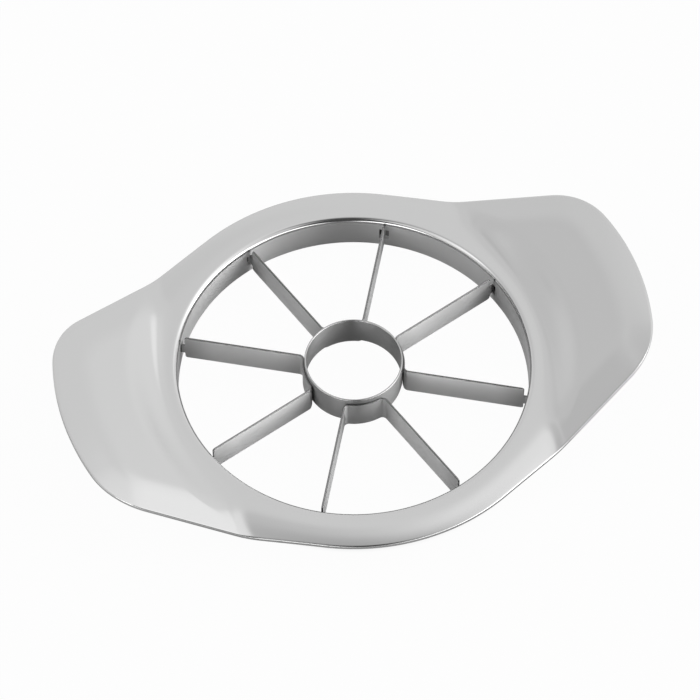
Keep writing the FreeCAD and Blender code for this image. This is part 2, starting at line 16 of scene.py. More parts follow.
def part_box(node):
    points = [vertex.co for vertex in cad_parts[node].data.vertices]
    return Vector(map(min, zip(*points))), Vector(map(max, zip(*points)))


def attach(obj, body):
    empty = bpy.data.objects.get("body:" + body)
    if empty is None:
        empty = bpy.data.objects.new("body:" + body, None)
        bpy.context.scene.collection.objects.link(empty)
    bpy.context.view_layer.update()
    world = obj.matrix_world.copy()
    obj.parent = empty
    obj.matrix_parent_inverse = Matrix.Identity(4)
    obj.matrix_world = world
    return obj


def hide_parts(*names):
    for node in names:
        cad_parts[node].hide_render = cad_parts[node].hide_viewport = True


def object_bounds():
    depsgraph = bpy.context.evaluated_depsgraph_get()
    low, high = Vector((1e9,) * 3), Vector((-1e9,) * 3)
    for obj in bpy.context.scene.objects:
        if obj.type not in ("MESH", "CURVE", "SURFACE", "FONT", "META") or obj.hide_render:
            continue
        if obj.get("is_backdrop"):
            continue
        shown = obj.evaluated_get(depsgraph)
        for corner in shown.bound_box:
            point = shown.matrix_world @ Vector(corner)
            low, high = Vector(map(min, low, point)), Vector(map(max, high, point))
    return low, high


bl_info = {
    "name": "Apple slicer",
    "version": (1, 0, 0),
    "blender": (4, 5, 0),
    "location": "View3D > Sidebar > Slicer",
    "description": "Builds a pressed steel apple slicer with its blades, finishes and studio",
    "category": "Add Mesh",
}

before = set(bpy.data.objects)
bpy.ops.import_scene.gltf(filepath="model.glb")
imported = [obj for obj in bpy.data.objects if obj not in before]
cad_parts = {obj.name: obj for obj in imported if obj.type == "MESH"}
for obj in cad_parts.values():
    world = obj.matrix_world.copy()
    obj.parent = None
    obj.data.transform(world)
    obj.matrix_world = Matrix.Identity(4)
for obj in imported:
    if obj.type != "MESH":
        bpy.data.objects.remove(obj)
CAD_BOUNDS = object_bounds()

MM = 0.001
FRAME_LOW, FRAME_HIGH = (Vector(corner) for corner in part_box("handle_frame"))
RING_LOW, RING_HIGH = (Vector(corner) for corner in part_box("core_ring"))
STRIP_LOW, STRIP_HIGH = (Vector(corner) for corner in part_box("blade_strip_1"))
STRIP_COUNT = 4
STRIP_NODES = [f"blade_strip_{number}" for number in range(1, STRIP_COUNT + 1)]
FULL_TURN = 2 * math.pi


# ---------------------------------------------------------------- sizes and colours

def length(name, description, default):
    """A size in metres."""
    return bpy.props.FloatProperty(name=name, description=description, default=default,
                                   min=0.0, unit="LENGTH", precision=5)


def angle(name, description, degrees):
    """An angle, given in degrees and kept in radians."""
    return bpy.props.FloatProperty(name=name, description=description,
                                   default=math.radians(degrees), unit="ROTATION")


class FrameSizes(bpy.types.PropertyGroup):
    """Sizes of the pressed frame with its wings and collar."""
    overall_length: length("Overall length", "Tip to tip over both wings",
                           FRAME_HIGH.x - FRAME_LOW.x)
    body_width: length("Body width", "Across the round middle", FRAME_HIGH.y - FRAME_LOW.y)
    side_angle: angle("Side angle", "Slant of the straight sides", 25.7)
    corner_radius: length("Corner radius", "Outline radius at the wings' corners", 20.5 * MM)
    tip_radius: length("Tip radius", "Outline radius of the wings' ends", 72.0 * MM)
    sheet: length("Sheet", "Thickness of the pressed sheet", 1.2 * MM)
    bend_line: length("Bend line", "Distance from the axis at which a wing starts to rise",
                      40.5 * MM)
    bend_radius: length("Bend radius", "Radius of that bend on the top face", 17.5 * MM)
    wing_angle: angle("Wing angle", "Rise of the wings", 18.6)
    ease_line: length("Ease line", "Distance from the axis at which a wing levels out",
                      68.5 * MM)
    ease_radius: length("Ease radius", "Radius of that levelling", 72.0 * MM)
    land_width: length("Land width", "Flat land outside the rim bend", 1.4 * MM)
    land_blend: length("Land blend", "Width over which the wings and the border take over",
                       11.0 * MM)
    border_width: length("Border width", "Width of the border that is turned down", 8.4 * MM)
    border_angle: angle("Border angle", "Slope of that border against the sheet", 7.2)
    border_bend: length("Border bend", "Width of the soft bend between the two", 5.0 * MM)
    edge_round: length("Edge round", "Rounding of the sheet's outer edges", 0.25 * MM)
    opening_radius: length("Opening radius", "Inside radius of the collar", 47.5 * MM)
    collar_height: length("Collar height", "Lower rim to the flat land's top", 10.4 * MM)
    collar_wall: length("Collar wall", "Wall of the drawn collar", 1.0 * MM)
    rim_bend: length("Rim bend", "Bend radius from the land into the collar", 1.4 * MM)
    under_bend: length("Under bend", "Inside radius of the same bend", 0.4 * MM)
    rim_round: length("Rim round", "Rounding of the collar's lower rim", 0.2 * MM)
    slot_width: length("Slot width", "Width of a slot round the collar", 2.7 * MM)
    slot_height: length("Slot height", "Height of a slot", 3.8 * MM)
    slot_level: length("Slot level", "Height of the slots' centres", 5.0 * MM)


class BladeSizes(bpy.types.PropertyGroup):
    """Sizes of the core ring and the blade strips."""
    core_radius: length("Core radius", "Outside radius of the core ring", RING_HIGH.x)
    core_wall: length("Core wall", "Wall of the core ring", 0.55 * MM)
    strip_turn: angle("Strip turn", "Turn of the blades against the wings' axis", -5.0)
    leg_half_angle: angle("Leg half angle", "Angle from a strip's middle to its legs", 23.45)
    strip_thickness: length("Strip thickness", "Thickness of a strip", 0.5 * MM)
    strip_bend: length("Strip bend", "Inside radius of the bend into a leg", 1.2 * MM)
    weld_gap: length("Weld gap", "Joint between a strip and the core ring", 0.02 * MM)
    bevel_height: length("Bevel height", "Height of the ground cutting bevel", 1.1 * MM)
    edge_thickness: length("Edge thickness", "Steel left at the cutting edge", 0.12 * MM)
    top_round: length("Top round", "Rounding of the upper edges", 0.24 * MM)
    end_gap: length("End gap", "Gap from a leg's shoulder to the collar", 1.0 * MM)
    shoulder_round: length("Shoulder round", "Rounding of a leg's shoulders", 0.7 * MM)
    tab_clearance: length("Tab clearance", "Tab to slot, above and below", 0.2 * MM)
    fold_radius: length("Fold radius", "Inside radius of the tab's fold", 0.5 * MM)
    fold_length: length("Fold length", "Flat length of the folded tab", 3.4 * MM)
    fold_gap: length("Fold gap", "Folded tab to the collar's outside", 0.03 * MM)


def linear(code):
    """The linear colour of an sRGB hex value."""
    values = (int(code[at:at + 2], 16) / 255 for at in (1, 3, 5))
    return tuple(v / 12.92 if v <= 0.04045 else ((v + 0.055) / 1.055) ** 2.4 for v in values)


def colour(name, description, code):
    """A colour, given as an sRGB hex value."""
    return bpy.props.FloatVectorProperty(name=name, description=description, subtype="COLOR",
                                         default=linear(code), min=0.0, max=1.0)


class Finishes(bpy.types.PropertyGroup):
    """Colours of the steels and the floor."""
    frame_steel: colour("Frame steel", "Polished stainless sheet", "#c9c9c9")
    collar_steel: colour("Collar steel", "Drawn stainless inside the collar", "#cecece")
    blade_steel: colour("Blade steel", "Rolled stainless strip", "#dadada")
    core_steel: colour("Core steel", "Drawn stainless tube of the core ring", "#a0a0a0")
    core_edge: colour("Core edge", "Ground upper edge of the core ring", "#b4b4b4")
    # Painted shade: the blades' upper edges are darkened to a thin dark line.
    blade_edge_shade: colour("Blade edge", "Sheared upper edges of the blades", "#7c7c7c")
    # Painted shade: the tabs' covered side is dark so that the slots look like holes.
    covered_tab_shade: colour("Covered steel", "Side of the tabs that lies against the collar",
                          "#464646")
    floor: colour("Floor", "Pale studio floor", "#b0b0b0")


# ---------------------------------------------------------------- mesh helpers

CREASE_ANGLE = math.radians(35)
# Materials of a piece, by their place in its list: its body, and then what differs from it.
BODY, SECOND, THIRD = range(3)


def make_piece(name, vertices, faces, materials, slots, nodes):
    """A smooth-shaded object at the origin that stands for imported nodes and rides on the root.

    Each face takes the material at its place in slots.
    """
    mesh = bpy.data.meshes.new(name)
    mesh.from_pydata(vertices, [], faces)
    for material in materials:
        mesh.materials.append(material)
    mesh.polygons.foreach_set("material_index", slots)
    mesh.update()
    mesh.shade_smooth()
    mesh.set_sharp_from_angle(angle=CREASE_ANGLE)
    piece = bpy.data.objects.new(name, mesh)
    bpy.context.scene.collection.objects.link(piece)
    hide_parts(*nodes)
    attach(piece, "root")
    return piece


def grid_faces(rows, columns, close_rows, close_columns):
    """Quads between neighbouring points of a rows by columns grid, as an array of indices."""
    row = np.arange(rows if close_rows else rows - 1)
    column = np.arange(columns if close_columns else columns - 1)
    row, column = np.meshgrid(row, column, indexing="ij")
    next_row = (row + 1) % rows
    next_column = (column + 1) % columns
    corners = [row * columns + column, row * columns + next_column,
               next_row * columns + next_column, next_row * columns + column]
    return np.stack(corners, axis=-1)


def smooth_step(ratio):
    """0 below 0, 1 above 1, and 3t^2 - 2t^3 between them."""
    ratio = np.clip(ratio, 0, 1)
    return ratio * ratio * (3 - 2 * ratio)


def quarter_arc(steps):
    """Cosine and sine at even steps from 0 to 90 degrees."""
    turn = np.linspace(0, np.pi / 2, steps + 1)
    return list(zip(np.cos(turn), np.sin(turn)))


def turned(points, turn):
    """Points turned about Z."""
    cos, sin = math.cos(turn), math.sin(turn)
    return np.stack([points[..., 0] * cos - points[..., 1] * sin,
                     points[..., 0] * sin + points[..., 1] * cos, points[..., 2]], axis=-1)


# ---------------------------------------------------------------- the pressed frame

class Outline:
    """The frame's outline: round middle, straight side, corner and wing end, all tangent.

    One quarter is worked out and mirrored. The side is the line tangent to the middle at the
    side angle; the corner's centre is one corner radius inside it, and as far from the centre
    of the wing's end as the difference of their radii.
    """

    def __init__(self, sizes):
        self.middle = sizes.body_width / 2
        self.corner, self.tip = sizes.corner_radius, sizes.tip_radius
        self.along = np.array([math.cos(sizes.side_angle), -math.sin(sizes.side_angle)])
        self.outward = np.array([math.sin(sizes.side_angle), math.cos(sizes.side_angle)])
        self.side_start = self.middle * self.outward
        self.tip_centre = np.array([sizes.overall_length / 2 - self.tip, 0.0])
        start = self.side_start - self.corner * self.outward - self.tip_centre
        on_line = start @ self.along
        reach = (self.tip - self.corner) ** 2 - start @ start
        side_length = -on_line + math.sqrt(on_line ** 2 + reach)
        self.side_end = self.side_start + side_length * self.along
        self.corner_centre = self.side_end - self.corner * self.outward
        across = self.corner_centre - self.tip_centre
        self.corner_end = self.tip_centre + across / np.linalg.norm(across) * self.tip

    def inside(self, x, y):
        """Distance inside the outline: to the piece whose normal passes through the point."""
        point = np.stack([np.abs(x), np.abs(y)], axis=-1)
        before_side = (point - self.side_start) @ self.along <= 0
        before_corner = (point - self.side_end) @ self.along <= 0
        from_corner = point - self.corner_centre
        corner_angle = np.arctan2(from_corner[..., 1], from_corner[..., 0])
        to_tip = self.corner_end - self.tip_centre
        return np.select(
            [before_side, before_corner, corner_angle >= math.atan2(to_tip[1], to_tip[0])],
            [self.middle - np.linalg.norm(point, axis=-1),
             (self.side_start - point) @ self.outward,
             self.corner - np.linalg.norm(from_corner, axis=-1)],
            self.tip - np.linalg.norm(point - self.tip_centre, axis=-1))

    def towards(self, angles):
        """Outline point and outward normal in each direction from the axis."""
        signs = np.where(np.stack([np.cos(angles), np.sin(angles)], axis=-1) < 0, -1.0, 1.0)
        rays = np.abs(np.stack([np.cos(angles), np.sin(angles)], axis=-1))
        steep = np.arctan2(rays[:, 1], rays[:, 0])
        ends = [math.atan2(p[1], p[0]) for p in
                (self.side_start, self.side_end, self.corner_end)]
        on_piece = [(steep >= end) for end in ends]

        def to_circle(centre, radius):
            half = rays @ centre
            return half + np.sqrt(np.maximum(half ** 2 - centre @ centre + radius ** 2, 0))

        reach = np.select(on_piece, [np.full_like(steep, self.middle),
                                     (self.side_start @ self.outward) / (rays @ self.outward),
                                     to_circle(self.corner_centre, self.corner)],
                          to_circle(self.tip_centre, self.tip))
        points = rays * reach[:, None]
        normals = np.select([piece[:, None] for piece in on_piece],
                            [rays, np.broadcast_to(self.outward, rays.shape),
                             (points - self.corner_centre) / self.corner],
                            (points - self.tip_centre) / self.tip)
        return points * signs, normals * signs


class PressedSheet:
    """Heights of the sheet's two faces.

    The top face is the land's height plus the wing's rise less the border's drop, both taken
    in by a smooth step outside the land round the collar. The rise is an arc, then a slope,
    then a parabola that levels out. The drop is a slope across the border, with a parabola for
    the soft bend at its inner edge. Both are taken a little short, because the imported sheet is
    a spline that stays just inside its control points. The underside is one thickness below,
    square to the top.
    """
    GRADIENT_STEP = 0.05 * MM
    SPLINE_SHARE = 0.9935

    def __init__(self, sizes, outline):
        self.sizes = sizes
        self.outline = outline

    def rise(self, distance):
        """Rise of a wing above the land, at a distance from the axis along the wings."""
        sizes = self.sizes
        run = np.maximum(distance - sizes.bend_line, 0)
        bend_run = sizes.bend_radius * math.sin(sizes.wing_angle)
        in_bend = np.minimum(run, bend_run)
        arc = sizes.bend_radius - np.sqrt(sizes.bend_radius ** 2 - in_bend ** 2)
        slope = (run - in_bend) * math.tan(sizes.wing_angle)
        past_ease = np.maximum(distance - sizes.ease_line, 0)
        return arc + slope - past_ease ** 2 / (2 * sizes.ease_radius)

    def drop(self, x, y):
        """Drop of the border that is turned down."""
        into = self.sizes.border_width - self.outline.inside(x, y)
        half_bend = self.sizes.border_bend / 2
        bend = np.maximum(into + half_bend, 0) ** 2 / (4 * half_bend)
        return math.tan(self.sizes.border_angle) * np.where(into > half_bend, into, bend)

    def top(self, x, y):
        """Height of the top face."""
        sizes = self.sizes
        land = sizes.opening_radius + sizes.rim_bend + sizes.land_width
        share = smooth_step((np.hypot(x, y) - land) / sizes.land_blend)
        form = self.SPLINE_SHARE * (self.rise(np.abs(x)) - self.drop(x, y))
        return sizes.collar_height + share * form

    def underside(self, x, y):
        """Height of the underside."""
        step = self.GRADIENT_STEP
        slope_x = (self.top(x + step, y) - self.top(x - step, y)) / (2 * step)
        slope_y = (self.top(x, y + step) - self.top(x, y - step)) / (2 * step)
        return self.top(x, y) - self.sizes.sheet * np.sqrt(1 + slope_x ** 2 + slope_y ** 2)


# Fineness of the frame: columns round the axis, and rows along its section.
COLUMNS = 960
TOP_ROWS = 52
UNDER_ROWS = 14
SMALL_ARC_STEPS = 3
RIM_BEND_STEPS = 9


def leg_directions(blades):
    """Directions of the eight legs: first those on one side of their strips, then the others."""
    turns = blades.strip_turn + np.arange(STRIP_COUNT) * FULL_TURN / STRIP_COUNT
    return np.concatenate([turns - blades.leg_half_angle, turns + blades.leg_half_angle])


def column_directions(sizes, blades):
    """Evenly spread directions, with the nearest ones moved onto the slots' side walls.

    The second result has, for each slot, the columns that it cuts.
    """
    directions = np.arange(COLUMNS) * FULL_TURN / COLUMNS
    half = math.asin(sizes.slot_width / 2 / sizes.opening_radius)
    spans = []
    for leg in np.mod(leg_directions(blades), FULL_TURN):
        first = round((leg - half) * COLUMNS / FULL_TURN)
        last = round((leg + half) * COLUMNS / FULL_TURN)
        directions[first % COLUMNS] = leg - half
        directions[last % COLUMNS] = leg + half
        spans.append(np.arange(first, last) % COLUMNS)
    return directions, spans


def frame_rows(sizes, directions):
    """Closed section of the frame, row by row, each row one point per direction.

    It starts at the collar's lower rim, climbs the inside wall, goes over the rim bend, out
    over the top face, round the sheet's edge, back along the underside, down the collar's
    outside wall and round the lower rim. The second result names the rows at which the slots
    and the rim bend start.
    """
    outline = Outline(sizes)
    form = PressedSheet(sizes, outline)
    rays = np.stack([np.cos(directions), np.sin(directions)], axis=-1)
    edge_points, edge_normals = outline.towards(directions)
    rows = []
    marks = {}

    def circle_row(radius, height):
        rows.append(np.column_stack([rays * radius, np.full(len(rays), height)]))

    inner, outer = sizes.opening_radius, sizes.opening_radius + sizes.collar_wall
    land_top = sizes.collar_height
    land_bottom = land_top - sizes.sheet
    slot_low = sizes.slot_level - sizes.slot_height / 2
    slot_high = slot_low + sizes.slot_height
    rim_round = sizes.rim_round
    small_arc = quarter_arc(SMALL_ARC_STEPS)

    for cos, sin in small_arc:
        circle_row(inner + rim_round * (1 - sin), rim_round * (1 - cos))
    marks["inner_slot_row"] = len(rows)
    circle_row(inner, slot_low)
    circle_row(inner, slot_high)
    marks["rim_bend_row"] = len(rows)
    for cos, sin in quarter_arc(RIM_BEND_STEPS):
        circle_row(inner + sizes.rim_bend * (1 - cos), land_top - sizes.rim_bend * (1 - sin))

    start = rays * (inner + sizes.rim_bend)
    end = edge_points - edge_normals * sizes.edge_round
    for share in np.arange(1, TOP_ROWS + 1) / TOP_ROWS:
        flat = start + (end - start) * share
        rows.append(np.column_stack([flat, form.top(flat[:, 0], flat[:, 1])]))

    top_z = form.top(edge_points[:, 0], edge_points[:, 1])
    bottom_z = form.underside(edge_points[:, 0], edge_points[:, 1])
    for face_z, inwards, arc in ((top_z, -1, small_arc[1:]), (bottom_z, 1, small_arc[:0:-1])):
        for cos, sin in arc:
            flat = end + edge_normals * sizes.edge_round * sin
            height = face_z + inwards * sizes.edge_round * (1 - cos)
            rows.append(np.column_stack([flat, height]))

    under_start = rays * (outer + sizes.under_bend)
    for share in np.arange(UNDER_ROWS + 1) / UNDER_ROWS:
        flat = end + (under_start - end) * share
        rows.append(np.column_stack([flat, form.underside(flat[:, 0], flat[:, 1])]))
    for cos, sin in small_arc[1:]:
        circle_row(outer + sizes.under_bend * (1 - sin),
                   land_bottom - sizes.under_bend * (1 - cos))
    marks["outer_slot_row"] = len(rows)
    circle_row(outer, slot_high)
    circle_row(outer, slot_low)
    for cos, sin in small_arc:
        circle_row(outer - rim_round * (1 - cos), rim_round * (1 - sin))
    return np.stack(rows), marks


def frame_mesh(sizes, blades):
    """Vertices and quads of the frame, with the slots left open and lined.

    The third result has each quad's material: the sheet's, or the second for the collar.
    """
    directions, spans = column_directions(sizes, blades)
    rows, marks = frame_rows(sizes, directions)
    quads = grid_faces(len(rows), COLUMNS, True, True)
    inner, outer = marks["inner_slot_row"], marks["outer_slot_row"]
    keep = np.ones(quads.shape[:2], dtype=bool)
    lining = []
    for columns in spans:
        keep[inner, columns] = False
        keep[outer, columns] = False
        ahead = (columns + 1) % COLUMNS
        for inner_row, outer_row, order in ((inner, outer + 1, 1), (inner + 1, outer, -1)):
            sill = np.stack([inner_row * COLUMNS + columns, outer_row * COLUMNS + columns,
                             outer_row * COLUMNS + ahead, inner_row * COLUMNS + ahead], axis=-1)
            lining.append(sill[:, ::order])
        for column, order in ((columns[0], -1), (ahead[-1], 1)):
            jamb = np.array([[inner, outer + 1, outer, inner + 1]]) * COLUMNS + column
            lining.append(jamb[:, ::order])
    lining = np.concatenate(lining)
    band = np.full(quads.shape[:2], BODY)
    band[:marks["rim_bend_row"]] = SECOND
    band[outer - SMALL_ARC_STEPS:] = SECOND
    faces = np.concatenate([quads[keep], lining])
    slots = np.concatenate([band[keep], np.full(len(lining), SECOND)])
    return rows.reshape(-1, 3), faces, slots


# ---------------------------------------------------------------- the core ring and the strips

RING_COLUMNS = 360


def upright_section(half, low, high, blades):
    """Half-width and height round an upright section with a cutting edge at its foot.

    From the middle of the cutting edge up one side, over the rounded top and down the other:
    the half-width grows in a straight line over the bevel's height and is then constant. The
    second result has a material for each side of the section: the second for the rounded top.
    """
    bevel = [(blades.edge_thickness / 2, low), (half, low + blades.bevel_height)]
    top = [(half - blades.top_round * (1 - cos), high - blades.top_round * (1 - sin))
           for cos, sin in quarter_arc(SMALL_ARC_STEPS)]
    right = np.array(bevel + top)
    left = right[::-1] * (-1, 1)
    slots = np.full(2 * len(right), BODY)
    slots[len(bevel):len(bevel) + 2 * len(top) - 1] = SECOND
    return np.concatenate([right, left]), slots


def ring_mesh(blades):
    """The upright section carried round the axis."""
    half = blades.core_wall / 2
    section, slots = upright_section(half, RING_LOW.z, RING_HIGH.z, blades)
    turn = np.arange(RING_COLUMNS) * FULL_TURN / RING_COLUMNS
    reach = blades.core_radius - half + section[:, :1]
    heights = np.broadcast_to(section[:, 1:], (len(section), RING_COLUMNS))
    points = np.stack([reach * np.cos(turn), reach * np.sin(turn), heights], axis=-1)
    faces = grid_faces(len(section), RING_COLUMNS, True, True).reshape(-1, 4)
    return points.reshape(-1, 3), faces[:, ::-1], np.repeat(slots, RING_COLUMNS)


# Fineness of a strip, along half of its middle line.
HUG_STEPS = 30
BEND_STEPS = 14
LEG_STEPS = 6
SHOULDER_STEPS = 8
SAME_POINT = 1e-9
# The leg's last points: the foot of its shoulder and the start of the fold.
LEG_POINTS_ON_TAB = 2


def strip_path(sizes, blades):
    """Middle line of one strip from tab to tab, point by point.

    Half of it is an arc round the core ring, a tangent bend, a straight leg that points at the
    axis, a tangent fold and the folded tab; the other half is its mirror image. The second
    result is how far out along its leg each point is, and the third says which are on a tab.
    """
    half = blades.strip_thickness / 2
    hug = blades.core_radius + blades.weld_gap + half
    bend = blades.strip_bend + half
    fold = blades.fold_radius + half
    back = sizes.opening_radius + sizes.collar_wall + blades.fold_gap + half
    leg = blades.leg_half_angle
    out = np.array([math.cos(leg), math.sin(leg)])
    across = np.array([-out[1], out[0]])
    turn = leg - math.asin(bend / (hug + bend))

    def arc(centre, radius, first, last, steps):
        angles = np.linspace(first, last, steps + 1)
        return centre + radius * np.stack([np.cos(angles), np.sin(angles)], axis=-1)

    bend_centre = (hug + bend) * np.array([math.cos(turn), math.sin(turn)])
    leg_start = (bend_centre + across * bend) @ out
    shoulder = sizes.opening_radius - blades.end_gap
    radius = blades.shoulder_round
    rounding = shoulder - radius * (1 - np.sin(np.linspace(0, np.pi / 2, SHOULDER_STEPS + 1)))
    leg_at = np.concatenate([np.linspace(leg_start, shoulder - radius, LEG_STEPS + 1)[1:-1],
                             rounding, [shoulder, back - fold]])
    fold_centre = out * (back - fold) - across * fold
    tab_end = out * back - across * (fold + blades.fold_length)
    inner = np.concatenate([arc(np.zeros(2), hug, 0, turn, HUG_STEPS),
                            arc(bend_centre, bend, turn + np.pi, leg + np.pi / 2,
                                BEND_STEPS)[1:]])
    folded = np.concatenate([arc(fold_centre, fold, leg + np.pi / 2, leg, BEND_STEPS)[1:],
                             [tab_end]])
    line = np.concatenate([inner, leg_at[:, None] * out, folded])
    along = np.concatenate([np.full(len(inner), leg_start), leg_at, np.full(len(folded), back)])
    is_tab = np.arange(len(line)) >= len(inner) + len(leg_at) - LEG_POINTS_ON_TAB
    mirror = line[:0:-1] * (1, -1)
    return (np.concatenate([mirror, line]), np.concatenate([along[:0:-1], along]),
            np.concatenate([is_tab[:0:-1], is_tab]))


def strip_mesh(sizes, blades, turn):
    """The upright section carried along the strip's middle line.

    Its height shrinks along a quarter circle at each shoulder and then drops to the tab's. The
    third result has each face's material: the second for the rounded top, painted as a dark
    line, and the third for the side of a folded tab that lies against the collar, painted dark
    as shade.
    """
    line, along, is_tab = strip_path(sizes, blades)
    step = np.gradient(line, axis=0)
    repeated = np.flatnonzero(np.linalg.norm(step, axis=1) < SAME_POINT)
    step[repeated] = line[repeated] - line[repeated - 1]
    step /= np.linalg.norm(step, axis=1, keepdims=True)
    side = np.stack([step[:, 1], -step[:, 0]], axis=-1)

    low, high = STRIP_LOW.z, STRIP_HIGH.z
    shoulder = sizes.opening_radius - blades.end_gap
    radius = blades.shoulder_round
    into = np.clip((along - (shoulder - radius)) / radius, 0, 1)
    rounding = radius * (1 - np.sqrt(1 - into ** 2))
    tab_half = sizes.slot_height / 2 - blades.tab_clearance
    bottom = np.where(is_tab, sizes.slot_level - tab_half, low + rounding)
    top = np.where(is_tab, sizes.slot_level + tab_half, high - rounding)

    half, edge = blades.strip_thickness / 2, blades.edge_thickness / 2
    section, section_slots = upright_section(half, low, high, blades)
    share = (section[:, 1] - low) / (high - low)
    heights = bottom[:, None] + share * (top - bottom)[:, None]
    # A section is only as thin at its foot as the bevel is at that height: a tab has none.
    bevel = np.clip((heights - low) / blades.bevel_height, 0, 1)
    limit = edge + (half - edge) * bevel
    wide = np.where(share == 0, half, np.abs(section[:, 0]))
    offset = np.sign(section[:, 0]) * np.minimum(wide, limit)
    flat = line[:, None, :] + side[:, None, :] * offset[..., None]
    points = np.concatenate([flat, heights[..., None]], axis=-1)

    count, around = heights.shape
    faces = grid_faces(count, around, False, True).reshape(-1, 4).tolist()
    faces.append(list(range(around))[::-1])
    faces.append(list(range((count - 1) * around, count * around)))
    slots = np.tile(section_slots, (count - 1, 1))
    # The side of each folded tab against the collar takes the painted shade.
    folded, one_side = BEND_STEPS + 1, 2
    slots[:folded, :one_side] = THIRD
    slots[-folded:, :one_side] = THIRD
    slots = np.concatenate([slots.ravel(), [BODY, BODY]])
    return turned(points, turn).reshape(-1, 3), faces, slots


# ---------------------------------------------------------------- materials

def add_node(tree, kind, inputs=None, **settings):
    """A node with its settings; an input is a value, or an output that is linked to it."""
    node = tree.nodes.new(kind)
    for name, value in settings.items():
        setattr(node, name, value)
    for name, value in (inputs or {}).items():
        if isinstance(value, bpy.types.NodeSocket):
            tree.links.new(value, node.inputs[name])
        else:
            node.inputs[name].default_value = value
    return node


def fresh_tree(owner):
    """The emptied node tree of a material or a world."""
    owner.use_nodes = True
    owner.node_tree.nodes.clear()
    return owner.node_tree


# Anisotropy of a wall whose grain runs level round it.
LEVEL_GRAIN = 0.9
# Between these values the grain's noise makes the gloss vary by this much, up and down.
GRAIN_LOW, GRAIN_HIGH = 0.3, 0.7
GLOSS_VARIATION = 0.03
GRAIN_DETAIL, GRAIN_ROUGHNESS = 3.0, 0.6
# The mottling that pressing leaves.
MOTTLE_SIZE, MOTTLE_HEIGHT = 14.0 * MM, 0.02 * MM
MOTTLE_DETAIL, MOTTLE_ROUGHNESS = 2.0, 0.5
# Painted shade towards the ends of a blade, where it meets the core ring and the collar. The
# colour is full in the blade's middle, which is this far from the axis. It starts to darken at
# one reach from there and is down to the end share at the other.
BRIGHT_MIDDLE = 30.0 * MM
BRIGHT_REACH, END_SHADE_REACH = 8.0 * MM, 17.0 * MM
END_SHADE_SHARE = 0.72


def painted_end_shade(tree, place, base):
    """The base colour, with painted shade towards both ends of a blade."""
    flat = add_node(tree, "ShaderNodeVectorMath", {0: place, 1: (1, 1, 0)}, operation="MULTIPLY")
    reach = add_node(tree, "ShaderNodeVectorMath", {0: flat.outputs["Vector"]},
                     operation="LENGTH")
    from_middle = add_node(tree, "ShaderNodeMath", {0: reach.outputs["Value"], 1: BRIGHT_MIDDLE},
                           operation="SUBTRACT")
    from_middle = add_node(tree, "ShaderNodeMath", {0: from_middle.outputs["Value"]},
                           operation="ABSOLUTE")
    share = add_node(tree, "ShaderNodeMapRange",
                     {"Value": from_middle.outputs["Value"], "From Min": BRIGHT_REACH,
                      "From Max": END_SHADE_REACH, "To Min": 1.0, "To Max": END_SHADE_SHARE},
                     interpolation_type="SMOOTHSTEP")
    return add_node(tree, "ShaderNodeVectorMath", {0: base, "Scale": share.outputs["Result"]},
                    operation="SCALE").outputs["Vector"]


def steel(name, base, roughness, grain_mm, grain_height_mm, spread=0.0, ends_shaded=False):
    """Stainless steel with a fine polished, drawn or rolled grain.

    The grain shows as a faint sparkle and a slightly uneven gloss. Real grain is too fine to
    show, so it is drawn as coarse as it needs to show. A second, much larger noise is the
    mottling that pressing leaves. Grain that runs level round a wall spreads whatever the wall
    mirrors up and down, so the wall shades softly from light to dark as it turns.
    """
    material = bpy.data.materials.new(name)
    tree = fresh_tree(material)
    place = add_node(tree, "ShaderNodeTexCoord").outputs["Object"]
    grain = add_node(tree, "ShaderNodeTexNoise",
                     {"Vector": place, "Scale": 1 / (grain_mm * MM),
                      "Detail": GRAIN_DETAIL, "Roughness": GRAIN_ROUGHNESS}).outputs["Fac"]
    mottle = add_node(tree, "ShaderNodeTexNoise",
                      {"Vector": place, "Scale": 1 / MOTTLE_SIZE,
                       "Detail": MOTTLE_DETAIL, "Roughness": MOTTLE_ROUGHNESS}).outputs["Fac"]
    gloss = add_node(tree, "ShaderNodeMapRange",
                     {"Value": grain, "From Min": GRAIN_LOW, "From Max": GRAIN_HIGH,
                      "To Min": roughness - GLOSS_VARIATION,
                      "To Max": roughness + GLOSS_VARIATION})
    swell = add_node(tree, "ShaderNodeBump",
                     {"Height": mottle, "Strength": 1.0, "Distance": MOTTLE_HEIGHT})
    bump = add_node(tree, "ShaderNodeBump",
                    {"Height": grain, "Strength": 1.0, "Distance": grain_height_mm * MM,
                     "Normal": swell.outputs["Normal"]})
    # A blade's ends get painted shade in the base colour.
    tint = painted_end_shade(tree, place, base) if ends_shaded else (*base, 1)
    shader = add_node(tree, "ShaderNodeBsdfPrincipled",
                      {"Base Color": tint, "Metallic": 1.0, "Anisotropic": spread,
                       "Roughness": gloss.outputs["Result"], "Normal": bump.outputs["Normal"]})
    if spread:
        up = add_node(tree, "ShaderNodeCombineXYZ", {"Z": 1.0})
        tree.links.new(up.outputs["Vector"], shader.inputs["Tangent"])
    add_node(tree, "ShaderNodeOutputMaterial", {"Surface": shader.outputs["BSDF"]})
    return material


# ---------------------------------------------------------------- camera

# The camera stands at this height angle and in this direction from the axis, and looks at the
# land's level on the axis, shifted by what it is aside and raised.
CAMERA_ELEVATION = math.radians(55.57)
CAMERA_DIRECTION = math.radians(-108.175)
CAMERA_DISTANCE = 996.2 * MM
CAMERA_ASIDE = -0.983 * MM
CAMERA_RAISED = 3.328 * MM
FOCAL_PIXELS = 3700
PICTURE_PIXELS = 700
SENSOR_WIDTH = 36.0
CLIP_END = 60.0
UP = Vector((0, 0, 1))


